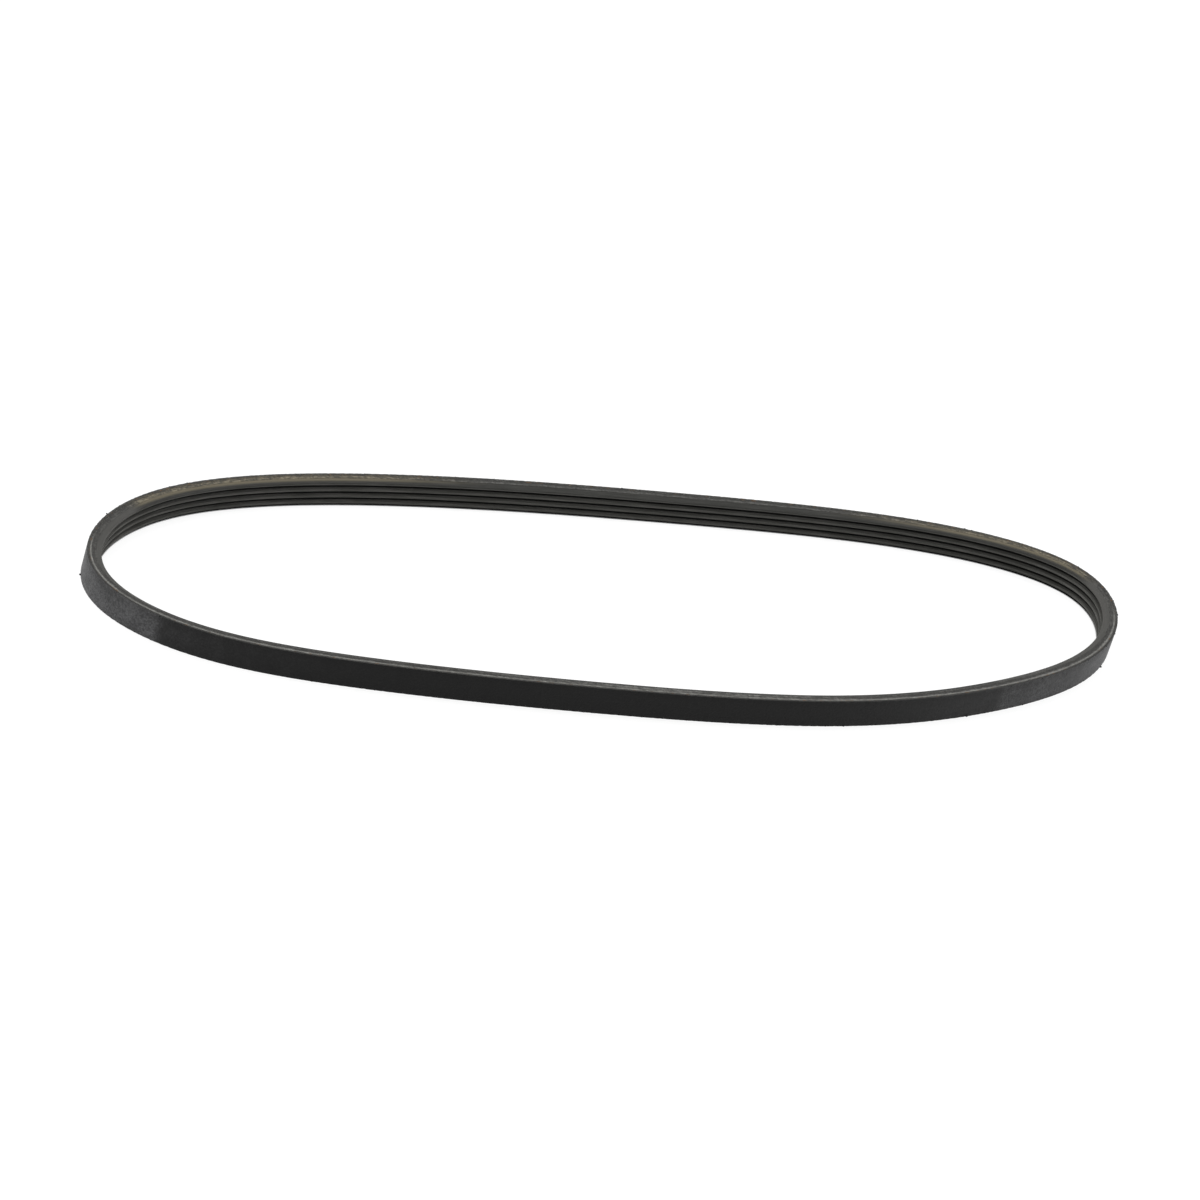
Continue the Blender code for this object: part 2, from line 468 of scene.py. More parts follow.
def wear_and_light_masks(length):
    """Where bloom with painted sheen lies on the back, where the cut edge is tan, and which side faces
    front.

    Bloom is 1 round the left end and the right end of the loop, each with a soft border and a weak
    tail that thins out towards the middle; it is partly dust bloom and partly painted sheen of the
    side soft boxes. The tan tint lies on the far side towards both ends: on the left a rise before
    the loop's start plus a fall after it, on the right a rise times a fall. Front is 1 on the stretch
    of the loop with the lower Y, the side whose cut edge carries painted light. Each mask is held
    between 0 and 1.
    """
    finish = settings().finish
    half = finish.bloom_and_sheen_border / 2.0
    stop, start, tail = finish.bloom_and_sheen_left, finish.bloom_and_sheen_right, finish.bloom_and_sheen_tail

    def rise(low, high):
        return smooth_step(length, low, high)

    def fall(low, high):
        return 1.0 - smooth_step(length, low, high)

    left = BLOOM_AND_SHEEN_STEP * fall(stop - half, stop + half) + LEFT_TAIL * fall(stop, stop + tail)
    left = left + LEFT_MORE * fall(*LEFT_THICK) + rise(*LEFT_BEHIND)
    right = BLOOM_AND_SHEEN_STEP * rise(start - half, start + half) + RIGHT_TAIL * rise(start - tail, start)
    right = (right + RIGHT_MORE * rise(*RIGHT_THICK)) * fall(*RIGHT_STOP)
    tan_left = rise(*TAN_LEFT_RISE) + fall(*TAN_LEFT_STOP)
    tan_right = rise(*TAN_RIGHT_RISE) * fall(*TAN_RIGHT_STOP)
    place, _ = loop_at(length)
    front = 1.0 - smooth_step(place[:, 1], *FRONT_Y)
    masks = np.stack([left + right, tan_left + tan_right, front], axis=-1)
    return np.clip(masks, 0.0, 1.0)


def point_values(mesh, name, kind, values):
    """Stores one number or one vector per point under a name that the materials read."""
    layer = mesh.attributes.new(name=name, type=kind, domain="POINT")
    key = "vector" if kind == "FLOAT_VECTOR" else "value"
    layer.data.foreach_set(key, np.ascontiguousarray(values, dtype=np.float32).ravel())


def wrap_vector(length, across):
    """Rolls the loop's length round a circle of the same length, so that a pattern closes.

    The result is (R cos a, R sin a, distance across), with R the length over 2 pi and a the share
    of a full turn that the length is.
    """
    radius = LOOP_LENGTH / (2.0 * math.pi)
    angle = 2.0 * math.pi * length / LOOP_LENGTH
    return np.stack(np.broadcast_arrays(radius * np.cos(angle), radius * np.sin(angle), across), axis=-1)


def build_skin():
    """Builds the belt's closed skin from the carried section, with its three finishes."""
    shape, cords = settings().shape, settings().cords
    points, length, across, depth0, kind = skin_grid(shape, cords)
    rows, columns = points.shape[:2]
    piece = mesh_from_arrays("belt_skin", points.reshape(-1, 3), grid_quads(rows, columns, True),
                             [back_material(), edge_material(), rib_material()])
    mesh = piece.data
    mesh.polygons.foreach_set("material_index", np.tile(kind, rows).astype(np.int32))

    point_values(mesh, "wrap", "FLOAT_VECTOR", wrap_vector(length[:, None], across[None, :]))
    point_values(mesh, "depth", "FLOAT", np.tile(depth0, rows))
    point_values(mesh, "wear_and_light", "FLOAT_VECTOR", np.repeat(wear_and_light_masks(length), columns, axis=0))
    mesh.shade_smooth()
    mesh.set_sharp_from_angle(angle=math.radians(38.0))
    return piece


def ring_quads(first, rings, sides):
    """Quads between neighbouring rings of points, for every tube whose first point's number is given.

    Point m of ring k is number first + k * sides + m, and the last point of a ring meets its first.
    """
    ring = first[:, :, None] + np.arange(rings - 1)[None, :, None] * sides
    this = np.arange(sides)
    beside = (this + 1) % sides
    quads = [ring + this, ring + beside, ring + sides + beside, ring + sides + this]
    return np.stack(quads, axis=-1).reshape(-1, 4)


def build_cord_ends():
    """Builds the loose fibre bundles that lie along both cut edges, in the cord layer's recess.

    Each is a thin three-sided tube whose middle line runs a short way along the belt at a slight
    slant, with a small arch, and comes to a point at both ends.
    """
    cords = settings().cords
    rng = np.random.default_rng(21)
    count = cords.fibre_count * 2
    rings, sides = 5, 3
    each = (count, 1)
    start = rng.uniform(0.0, LOOP_LENGTH, each)
    run = cords.fibre_length * rng.uniform(0.45, 1.7, each)
    slant = rng.normal(0.0, 0.10, each)
    depth = rng.uniform(cords.layer_start + 0.0001, cords.layer_end - 0.0001, each)
    radius = cords.fibre_radius * rng.uniform(0.6, 1.25, each)
    lift = rng.uniform(0.2, 1.0, each)
    upper = (np.arange(count) % 2 == 0)[:, None, None]
    t = np.linspace(0.0, 1.0, rings)
    along = start + run * t * np.cos(slant)
    inwards = np.clip(depth + run * t * np.sin(slant), cords.layer_start, cords.layer_end)
    place, inward = (part.reshape(count, rings, 2) for part in loop_at(along.ravel()))
    rise = cords.recess * (0.30 + 0.55 * lift * np.sin(math.pi * t))
    thick = (radius * np.sqrt(np.clip(np.sin(math.pi * (0.04 + 0.92 * t)), 0.0, 1.0)))[:, :, None]
    turn = 2.0 * math.pi * np.arange(sides) / sides
    deep = inwards[:, :, None] + thick * np.cos(turn)
    below = np.maximum(cords.recess - rise[:, :, None] - thick * np.sin(turn), 0.00003)
    points = carry(place, inward, deep, np.where(upper, BELT_HIGH[2] - below, BELT_LOW[2] + below))
    first = np.arange(count)[:, None] * rings * sides
    last = first + (rings - 1) * sides
    ends = np.concatenate([first + np.arange(sides)[::-1], last + np.arange(sides)])
    faces = ring_quads(first, rings, sides).tolist() + ends.tolist()
    piece = mesh_from_arrays("cord_ends", points.reshape(-1, 3), faces, [fibre_material()])
    face_outwards(piece.data)
    masks = wear_and_light_masks(np.mod(along.ravel(), LOOP_LENGTH))
    point_values(piece.data, "wear_and_light", "FLOAT_VECTOR", np.repeat(masks, sides, axis=0))
    piece.data.shade_smooth()
    return piece


def build_crumbs():
    """Builds the crumbs of moulding flash left on the corners of the back, and four larger nibs.

    Each is a ball of latitude and longitude rings, stretched by three lengths of its own and
    dented by two waves. A crumb sits half sunk in the back's upper or lower corner, and a nib
    stands out from it.
    """
    cords = settings().cords
    rng = np.random.default_rng(34)
    count = cords.crumb_count
    around, rings = 7, 4
    start = rng.uniform(0.0, LOOP_LENGTH, count)
    size = cords.crumb_size * rng.uniform(0.5, 1.6, count)
    stretch = rng.uniform(0.6, 1.5, (count, 3))
    upper = rng.uniform(size=count) < 0.6
    sunk = 0.5 * size
    start = np.concatenate([start, NIB_PLACES[:, 0]])
    upper = np.concatenate([upper, NIB_PLACES[:, 1] > 0.0])
    nibs = len(NIB_PLACES)
    count = count + nibs
    size = np.concatenate([size, np.full(nibs, cords.nib_size)])
    sunk = np.concatenate([sunk, np.full(nibs, -0.45 * cords.nib_size)])
    stretch = np.concatenate([stretch, np.tile([[0.8, 1.1, 0.7]], (nibs, 1))])
    latitude = np.linspace(-math.pi / 2.0, math.pi / 2.0, rings + 2)
    longitude = 2.0 * math.pi * np.arange(around) / around
    cos_lat = np.cos(latitude[1:-1])[:, None]
    sin_lat = np.sin(latitude[1:-1])[:, None]
    ball = np.stack([cos_lat * np.cos(longitude), cos_lat * np.sin(longitude),
                     np.broadcast_to(sin_lat, (rings, around))], axis=-1).reshape(-1, 3)
    ball = np.concatenate([ball, [[0.0, 0.0, -1.0], [0.0, 0.0, 1.0]]])
    phase = rng.uniform(0.0, 6.28, (count, 1, 2))
    dent = np.sin(3.0 * ball[None, :, 0] + phase[..., 0]) * np.cos(4.0 * ball[None, :, 2] + phase[..., 1])
    dent = 1.0 + 0.18 * dent
    local = ball[None] * dent[..., None] * stretch[:, None, :] * size[:, None, None]
    place, inward = loop_at(start)
    along = np.stack([inward[:, 1], -inward[:, 0]], axis=1)
    deep = 0.00004 + local[..., 1] + sunk[:, None]
    level = np.where(upper, BELT_HIGH[2] - 0.6 * size, BELT_LOW[2] + 0.6 * size)
    points = carry(place, inward, deep, level[:, None] + local[..., 2], along[:, None] * local[..., :1])
    per = ball.shape[0]
    first = np.arange(count)[:, None] * per
    last = first + (rings - 1) * around
    this = np.arange(around)
    beside = (this + 1) % around
    low = np.stack(np.broadcast_arrays(first + per - 2, first + beside, first + this), axis=-1)
    high = np.stack(np.broadcast_arrays(first + per - 1, last + this, last + beside), axis=-1)
    faces = ring_quads(first, rings, around).tolist()
    faces += np.concatenate([low, high]).reshape(-1, 3).tolist()
    piece = mesh_from_arrays("flash_crumbs", points.reshape(-1, 3), faces, [crumb_material()])
    face_outwards(piece.data)
    piece.data.shade_smooth()
    return piece


def face_outwards(mesh):
    """Turns every closed shell of a mesh so that its faces point out."""
    bm = bmesh.new()
    bm.from_mesh(mesh)
    bmesh.ops.recalc_face_normals(bm, faces=bm.faces)
    bm.to_mesh(mesh)
    bm.free()


# Shader tools.


class NodeSheet:
    """Lays nodes into a node tree and links them."""

    def __init__(self, tree):
        self.tree = tree
        self.column = 0

    def node(self, kind, **values):
        """Adds a node and sets its own options."""
        made = self.tree.nodes.new(kind)
        made.location = (self.column * 180, 0)
        self.column += 1
        for key, value in values.items():
            setattr(made, key, value)
        return made

    def feed(self, target, source):
        """Links a socket, or sets a plain value."""
        if hasattr(source, "is_linked"):
            self.tree.links.new(source, target)
        else:
            target.default_value = source

    def maths(self, operation, first, second=None, third=None):
        """Adds a Math node."""
        made = self.node("ShaderNodeMath", operation=operation)
        for socket, source in zip(made.inputs, (first, second, third)):
            if source is not None:
                self.feed(socket, source)
        return made.outputs[0]

    def times(self, first, second):
        """Multiplies two values."""
        return self.maths("MULTIPLY", first, second)

    def span(self, value, low, high, to_low=0.0, to_high=1.0):
        """Maps a range onto another and holds it at the ends."""
        made = self.node("ShaderNodeMapRange", interpolation_type="SMOOTHSTEP")
        made.clamp = True
        for name, source in (("Value", value), ("From Min", low), ("From Max", high),
                             ("To Min", to_low), ("To Max", to_high)):
            self.feed(made.inputs[name], source)
        return made.outputs["Result"]

    def mix(self, factor, first, second):
        """Mixes two colours."""
        made = self.node("ShaderNodeMix", data_type="RGBA")
        self.feed(made.inputs[0], factor)
        self.feed(made.inputs[6], first)
        self.feed(made.inputs[7], second)
        return made.outputs[2]

    def over(self, colour, top, *factors):
        """Lays a colour over another by the product of the factors."""
        share = factors[0]
        for factor in factors[1:]:
            share = self.times(share, factor)
        return self.mix(share, colour, top)

    def ramp(self, value, stops):
        """Adds a colour ramp from stops: a place between 0 and 1, a colour, and a factor on it."""
        made = self.node("ShaderNodeValToRGB")
        self.feed(made.inputs[0], value)
        elements = made.color_ramp.elements
        for element, (place, colour, factor) in zip(elements, (stops[0], stops[-1])):
            element.position = place
            element.color = shade(colour, factor)
        for place, colour, factor in stops[1:-1]:
            elements.new(place).color = shade(colour, factor)
        return made.outputs[0]

    def noise(self, vector, scale, detail=3.0, roughness=0.55):
        """Adds a noise texture and returns its value."""
        made = self.node("ShaderNodeTexNoise")
        self.feed(made.inputs["Vector"], vector)
        self.feed(made.inputs["Scale"], scale)
        self.feed(made.inputs["Detail"], detail)
        self.feed(made.inputs["Roughness"], roughness)
        return made.outputs[0]

    def stretch(self, vector, factors):
        """Scales a vector axis by axis."""
        made = self.node("ShaderNodeMapping")
        self.feed(made.inputs["Vector"], vector)
        made.inputs["Scale"].default_value = factors
        return made.outputs[0]


def new_group(name, inputs, outputs):
    """Starts a shader group with named sockets, or returns None with the one already built."""
    existing = bpy.data.node_groups.get(name)
    if existing:
        return existing, None, None, None
    tree = bpy.data.node_groups.new(name, "ShaderNodeTree")
    for label, kind, value in inputs:
        socket = tree.interface.new_socket(name=label, in_out="INPUT", socket_type=kind)
        if value is not None:
            socket.default_value = value
    for label, kind in outputs:
        tree.interface.new_socket(name=label, in_out="OUTPUT", socket_type=kind)
    sheet = NodeSheet(tree)
    entry = sheet.node("NodeGroupInput")
    leave = sheet.node("NodeGroupOutput")
    return tree, sheet, entry, leave


def grain_group():
    """Leathery rubber grain: cells of moulded skin, fine pits over them and slow mottling.

    Gives a height for the bump, a mottle value for the colour and a scuff value for pale scratches.
    """
    tree, sheet, entry, leave = new_group(
        "rubber_grain",
        [("Vector", "NodeSocketVector", None), ("Cell scale", "NodeSocketFloat", 1500.0),
         ("Mottle scale", "NodeSocketFloat", 90.0)],
        [("Height", "NodeSocketFloat"), ("Mottle", "NodeSocketFloat"), ("Scuff", "NodeSocketFloat")])
    if sheet is None:
        return tree
    vector = entry.outputs["Vector"]
    cells = sheet.node("ShaderNodeTexVoronoi", feature="SMOOTH_F1")
    sheet.feed(cells.inputs["Vector"], vector)
    sheet.feed(cells.inputs["Scale"], entry.outputs["Cell scale"])
    pits = sheet.noise(vector, sheet.times(entry.outputs["Cell scale"], 2.1), 4.0, 0.6)
    height = sheet.maths("MULTIPLY_ADD", cells.outputs["Distance"], 0.55, sheet.times(pits, 0.7))
    patches = sheet.noise(vector, entry.outputs["Mottle scale"], 5.0, 0.62)
    fine = sheet.noise(vector, sheet.times(entry.outputs["Mottle scale"], 9.0), 4.0, 0.7)
    mottle = sheet.maths("MULTIPLY_ADD", patches, 0.6, sheet.times(fine, 0.4))
    lines = sheet.noise(sheet.stretch(vector, (55.0, 55.0, 1600.0)), 1.0, 2.0, 0.5)
    broken = sheet.noise(vector, sheet.times(entry.outputs["Mottle scale"], 0.7), 2.0, 0.5)
    scuff = sheet.times(sheet.span(lines, 0.60, 0.72), sheet.span(broken, 0.48, 0.66))
    sheet.feed(leave.inputs["Height"], height)
    sheet.feed(leave.inputs["Mottle"], mottle)
    sheet.feed(leave.inputs["Scuff"], scuff)
    return tree


def streak_group():
    """Fine lengthwise streaks left by grinding or by the cut: noise drawn out along the belt."""
    tree, sheet, entry, leave = new_group(
        "lengthwise_streaks",
        [("Vector", "NodeSocketVector", None), ("Per metre across", "NodeSocketFloat", 6000.0),
         ("Per metre along", "NodeSocketFloat", 120.0)],
        [("Streak", "NodeSocketFloat"), ("Fibre", "NodeSocketFloat")])
    if sheet is None:
        return tree
    scales = sheet.node("ShaderNodeCombineXYZ")
    for axis, label in enumerate(("Per metre along", "Per metre along", "Per metre across")):
        sheet.feed(scales.inputs[axis], entry.outputs[label])
    scaled = sheet.node("ShaderNodeVectorMath", operation="MULTIPLY")
    sheet.feed(scaled.inputs[0], entry.outputs["Vector"])
    sheet.feed(scaled.inputs[1], scales.outputs[0])
    streak = sheet.noise(scaled.outputs[0], 1.0, 4.0, 0.6)
    fibre = sheet.noise(scaled.outputs[0], 3.3, 3.0, 0.7)
    sheet.feed(leave.inputs["Streak"], streak)
    sheet.feed(leave.inputs["Fibre"], fibre)
    return tree


def use_group(sheet, tree, **values):
    """Places a group in a material with its own values, and returns its outputs."""
    made = sheet.node("ShaderNodeGroup", node_tree=tree)
    for label, source in values.items():
        sheet.feed(made.inputs[label.replace("_", " ")], source)
    return made.outputs


def new_material(name, roughness):
    """Starts a material with its shader and returns both, with a sheet for its nodes."""
    material = bpy.data.materials.new(name)
    material.use_nodes = True
    sheet = NodeSheet(material.node_tree)
    shader = material.node_tree.nodes["Principled BSDF"]
    shader.inputs["Roughness"].default_value = roughness
    shader.inputs["Metallic"].default_value = 0.0
    shader.inputs["Specular IOR Level"].default_value = 0.15
    return material, sheet, shader


def attribute(sheet, name):
    """Reads a named value of the mesh."""
    made = sheet.node("ShaderNodeAttribute")
    made.attribute_type = "GEOMETRY"
    made.attribute_name = name
    return made


def bump(sheet, shader, height, strength, distance):
    """Bends the surface's shading by a height."""
    made = sheet.node("ShaderNodeBump")
    made.inputs["Strength"].default_value = strength
    made.inputs["Distance"].default_value = distance
    sheet.feed(made.inputs["Height"], height)
    sheet.feed(shader.inputs["Normal"], made.outputs["Normal"])


def shade(colour, factor):
    """A colour made darker or paler by a factor."""
    return tuple(min(channel * factor, 1.0) for channel in colour[:3]) + (1.0,)


def object_place(sheet):
    """Reads a point's X, Y and Z on the piece."""
    parts = sheet.node("ShaderNodeSeparateXYZ")
    sheet.feed(parts.inputs[0], sheet.node("ShaderNodeTexCoord").outputs["Object"])
    return parts.outputs


def wear_and_light(sheet):
    """Reads the masks of bloom with painted sheen, of tan and of the front side of the mesh."""
    parts = sheet.node("ShaderNodeSeparateXYZ")
    sheet.feed(parts.inputs[0], attribute(sheet, "wear_and_light").outputs["Vector"])
    return parts.outputs


def back_material():
    """Smooth black back: leathery grain, faint mottling and scuffs, grey bloom with painted sheen at the
    ends.
    """
    finish = settings().finish
    material, sheet, shader = new_material("back_rubber", 0.50)
    wrap = attribute(sheet, "wrap").outputs["Vector"]
    bloom_and_sheen = wear_and_light(sheet)[0]
    grain = use_group(sheet, grain_group(), Vector=wrap, Cell_scale=1100.0, Mottle_scale=95.0)
    coarse = use_group(sheet, grain_group(), Vector=wrap, Cell_scale=520.0, Mottle_scale=40.0)
    mottle = sheet.span(grain["Mottle"], 0.36, 0.68)
    colour = sheet.mix(sheet.times(mottle, 0.8), finish.back_colour[:], finish.back_pale[:])
    # Paler grey at the loop's ends, patchy and thinner towards the top of the back, with paler scuffs
    # there: partly dust bloom, partly painted sheen of the side soft boxes.
    patchy = sheet.span(grain["Mottle"], 0.36, 0.64, 0.48, 1.05)
    patchy = sheet.times(patchy, sheet.span(coarse["Mottle"], 0.40, 0.60, 0.72, 1.0))
    top = float(BELT_HIGH[2])
    thinner_near_top = sheet.span(object_place(sheet)[2], top - 0.0050, top - 0.0020, 1.0, 0.66)
    thinner_near_top = sheet.times(patchy, thinner_near_top)
    colour = sheet.over(colour, finish.bloom_and_sheen_colour[:], bloom_and_sheen, thinner_near_top)
    pale = sheet.mix(bloom_and_sheen, finish.back_pale[:], (0.15, 0.15, 0.15, 1.0))
    colour = sheet.over(colour, pale, grain["Scuff"], 0.75)
    dots = sheet.span(grain["Height"], 0.44, 0.78, 0.0, 0.52)
    colour = sheet.mix(dots, colour, finish.back_colour[:])
    sheet.feed(shader.inputs["Base Color"], colour)
    sheet.feed(shader.inputs["Roughness"], sheet.span(grain["Mottle"], 0.3, 0.7, 0.46, 0.62))
    bump(sheet, shader, grain["Height"], 0.8, 0.00030)
    return material


def rib_material():
    """Ground rubber of the ribs: grey, streaked along its length, with painted shade that turns it near
    black down in the grooves.
    """
    finish = settings().finish
    shape = settings().shape
    pitch = BELT_WIDTH / shape.rib_count
    material, sheet, shader = new_material("rib_rubber", 0.7)
    wrap = attribute(sheet, "wrap").outputs["Vector"]
    depth = attribute(sheet, "depth").outputs["Fac"]
    bloom_and_sheen, tan, _ = wear_and_light(sheet)
    streaks = use_group(sheet, streak_group(), Vector=wrap, Per_metre_across=1500.0, Per_metre_along=60.0)
    grain = use_group(sheet, grain_group(), Vector=wrap, Cell_scale=900.0, Mottle_scale=140.0)
    pale = sheet.span(streaks["Streak"], 0.38, 0.70)
    colour = sheet.mix(sheet.times(pale, 0.75), finish.rib_colour[:], finish.rib_pale[:])
    middle = float(BELT_LOW[2] + BELT_WIDTH / 2.0)
    off_middle = sheet.maths("ABSOLUTE", sheet.maths("SUBTRACT", object_place(sheet)[2], middle))
    outer = BELT_WIDTH / 2.0 - 0.5 * pitch
    inside = sheet.span(off_middle, outer, outer + 0.1 * pitch, 1.0, 0.0)
    root = shape.band_thickness
    # Painted shade: the inner ribs darken to near black towards the groove roots.
    low = sheet.span(depth, root + 0.34 * shape.rib_height, root + 0.54 * shape.rib_height, 1.0, 0.0)
    colour = sheet.over(colour, (0.0015, 0.0015, 0.0013, 1.0), low, inside, 0.98)
    outside = sheet.maths("SUBTRACT", 1.0, inside)
    colour = sheet.over(colour, (0.012, 0.012, 0.011, 1.0), outside, 0.58)
    tinted = sheet.span(depth, root + 0.1 * shape.rib_height, root + 0.75 * shape.rib_height, 0.85, 0.0)
    colour = sheet.over(colour, shade(finish.khaki_colour, 0.75), tinted, tan, outside)
    # Paler outer flanks at the loop's ends, where they are not tan: partly bloom, partly painted sheen of
    # the side soft boxes.
    untanned = sheet.span(tan, 0.0, 1.0, 0.8, 0.0)
    colour = sheet.over(colour, shade(finish.rib_pale, 0.82), outside, bloom_and_sheen, untanned)
    sheet.feed(shader.inputs["Base Color"], colour)
    sheet.feed(shader.inputs["Roughness"], sheet.span(streaks["Fibre"], 0.3, 0.7, 0.60, 0.82))
    height = sheet.maths("MULTIPLY_ADD", streaks["Streak"], 0.8, sheet.times(grain["Height"], 0.4))
    bump(sheet, shader, height, 0.6, 0.00028)
    return material


def edge_material():
    """Cut edge: layers one behind the other in from the back, coloured by their depth.

    In front a dark cover, the pale line of cut cord, and cut rubber with one dark line. Behind, a
    fuzzy pale cover, a dark line, and pale cut rubber that is tan towards the loop's ends. Front and
    behind are partly lit and shaded copies of one edge: the front's cord line is painted brighter
    than behind, with a painted highlight on its foremost stretch.
    """
    finish, cords, shape = settings().finish, settings().cords, settings().shape
    material, sheet, shader = new_material("cut_edge", 0.78)
    wrap = attribute(sheet, "wrap").outputs["Vector"]
    depth = attribute(sheet, "depth").outputs["Fac"]
    bloom_and_sheen, tan, front = wear_and_light(sheet)
    streaks = use_group(sheet, streak_group(), Vector=wrap, Per_metre_across=1250.0, Per_metre_along=150.0)
    dashes = use_group(sheet, streak_group(), Vector=wrap, Per_metre_across=900.0, Per_metre_along=620.0)
    grain = use_group(sheet, grain_group(), Vector=wrap, Cell_scale=720.0, Mottle_scale=200.0)
    layer = sheet.maths("ADD", depth, sheet.maths("MULTIPLY_ADD", streaks["Streak"], 0.0008, -0.0004))
    share = sheet.maths("DIVIDE", layer, shape.band_thickness)
    cover, cord, rubber, khaki = (finish.cover_colour, finish.cord_colour, finish.edge_colour,
                                  finish.khaki_colour)
    start, end = (edge / shape.band_thickness for edge in (cords.layer_start, cords.layer_end))
    # Front and behind are partly lit and shaded copies of one edge: the front ramp paints the cord line
    # brighter than the same layer behind.
    near = sheet.ramp(share, [
        (0.0, rubber, 0.28), (start - 0.08, rubber, 0.28), (start + 0.02, cord, 1.0),
        (end - 0.04, cord, 0.95), (end + 0.08, rubber, 1.15), (0.70, rubber, 0.95),
        (0.77, rubber, 0.25), (0.86, rubber, 1.25), (1.0, rubber, 1.35)])
    far = sheet.ramp(share, [
        (0.0, cover, 1.0), (0.18, cover, 0.85), (0.30, rubber, 0.42),
        (0.54, rubber, 0.65), (0.70, cord, 0.62), (1.0, cord, 0.66)])
    tanned = sheet.ramp(share, [
        (0.0, cover, 1.05), (0.18, cover, 0.90), (0.30, khaki, 0.38),
        (0.50, khaki, 0.70), (0.66, khaki, 1.2), (1.0, khaki, 1.1)])
    # Painted highlight: on the stretch of lowest Y the inner cut rubber turns to a paler cord colour.
    foremost_highlight = sheet.span(object_place(sheet)[1], -0.0885, -0.0800, 1.0, 0.0)
    inner = sheet.span(share, end, end + 0.1)
    near = sheet.over(near, shade(cord, 1.1), foremost_highlight, inner, 0.95)
    colour = sheet.mix(front, sheet.mix(tan, far, tanned), near)
    # Darker inner cut rubber along the stretches of the back's bloom and painted sheen, where they are not
    # tan.
    untanned = sheet.span(tan, 0.0, 1.0, 0.55, 0.0)
    colour = sheet.over(colour, shade(rubber, 0.72), bloom_and_sheen, inner, untanned)
    fibres = sheet.span(streaks["Streak"], 0.42, 0.60, 0.0, 0.72)
    colour = sheet.mix(fibres, colour, shade(rubber, 0.45))
    specks = sheet.span(grain["Height"], 0.46, 0.74, 0.0, 0.62)
    colour = sheet.mix(specks, colour, shade(rubber, 0.3))
    # Painted highlight: the middle of the cord line is made paler still, on the front side only.
    centre = 0.5 * (cords.layer_start + cords.layer_end) + 0.0001
    off_centre = sheet.maths("ABSOLUTE", sheet.maths("SUBTRACT", depth, centre))
    front_cord_highlight = sheet.span(off_centre, 0.00018, 0.00050, 0.85, 0.0)
    colour = sheet.over(colour, shade(cord, 1.15), front_cord_highlight, sheet.span(front, 0.05, 0.45))
    broken = sheet.span(dashes["Streak"], 0.42, 0.60, 0.55, 0.0)
    outside = sheet.span(share, 0.12, 0.24, 1.0, 0.0)
    colour = sheet.over(colour, shade(rubber, 0.4), broken, outside)
    smudge = sheet.span(grain["Mottle"], 0.38, 0.62, 0.0, 0.50)
    colour = sheet.mix(smudge, colour, shade(rubber, 0.6))
    edge_line = sheet.span(sheet.maths("ABSOLUTE", sheet.maths("SUBTRACT", layer, cords.layer_start)),
                           0.00010, 0.00055, 1.0, 0.0)
    flecks = sheet.span(sheet.noise(wrap, 330.0, 3.0, 0.6), 0.56, 0.66, 0.0, 0.75)
    colour = sheet.over(colour, finish.fleck_colour[:], edge_line, flecks)
    sheet.feed(shader.inputs["Base Color"], colour)
    height = sheet.maths("ADD", streaks["Fibre"], sheet.times(grain["Height"], 0.5))
    bump(sheet, shader, height, 0.70, 0.00032)
    return material


def fibre_material():
    """Loose fibre bundles: pale yarn, tan towards the ends, darkened unevenly with rubber dust."""
    finish = settings().finish
    material, sheet, shader = new_material("cord_fibre", 0.85)
    place = sheet.node("ShaderNodeTexCoord").outputs["Object"]
    tan = wear_and_light(sheet)[1]
    smudge = sheet.noise(place, 700.0, 3.0, 0.6)
    colour = sheet.mix(tan, finish.cord_colour[:], finish.khaki_colour[:])
    colour = sheet.mix(sheet.span(smudge, 0.40, 0.66, 0.0, 0.8), colour, finish.edge_colour[:])
    sheet.feed(shader.inputs["Base Color"], colour)
    bump(sheet, shader, sheet.noise(place, 9000.0, 2.0, 0.5), 0.3, 0.00003)
    return material


def crumb_material():
    """Crumbs of flash: the back's rubber, duller."""
    finish = settings().finish
    material, sheet, shader = new_material("flash_rubber", 0.7)
    place = sheet.node("ShaderNodeTexCoord").outputs["Object"]
    spots = sheet.noise(place, 2500.0, 3.0, 0.6)
    sheet.feed(shader.inputs["Base Color"],
               sheet.mix(sheet.span(spots, 0.35, 0.65), finish.back_colour[:], finish.back_pale[:]))
    bump(sheet, shader, spots, 0.4, 0.00005)
    return material


# The stage.


# Squares along each side of the floor, the light that the floor shows by itself, and how near above
# it rubber has to be for the floor to dim.
FLOOR_SQUARES, FLOOR_GLOW, GAP_REACH = 8, 0.86, 0.004

# Soft boxes: name, place, the point each faces, width and height.
TOP_BOX = ("top_box", (0.1, 0.55, 1.5), (0.0, 0.0, 0.0), 1.6, 1.2)
LEFT_BOX = ("left_box", (-1.35, -0.10, 0.35), (-0.2, 0.0, 0.0), 0.9, 0.6)
RIGHT_BOX = ("right_box", (1.35, -0.15, 0.35), (0.2, 0.0, 0.0), 0.9, 0.6)


def seen_directly(sheet):
    """1 for the camera's own rays and for mirror and see-through rays, 0 for diffuse light."""
    rays = sheet.node("ShaderNodeLightPath")
    first = sheet.maths("MAXIMUM", rays.outputs["Is Camera Ray"], rays.outputs["Is Glossy Ray"])
    return sheet.maths("MAXIMUM", first, rays.outputs["Is Transmission Ray"])


def end_by_sight(sheet, light, shown, ending):
    """Ends a node tree with one shader for the light that it gives and another for what is seen."""
    choose, out = sheet.node("ShaderNodeMixShader"), sheet.node(ending)
    for socket, source in zip(choose.inputs, (seen_directly(sheet), light.outputs[0], shown.outputs[0])):
        sheet.feed(socket, source)
    sheet.feed(out.inputs["Surface"], choose.outputs[0])


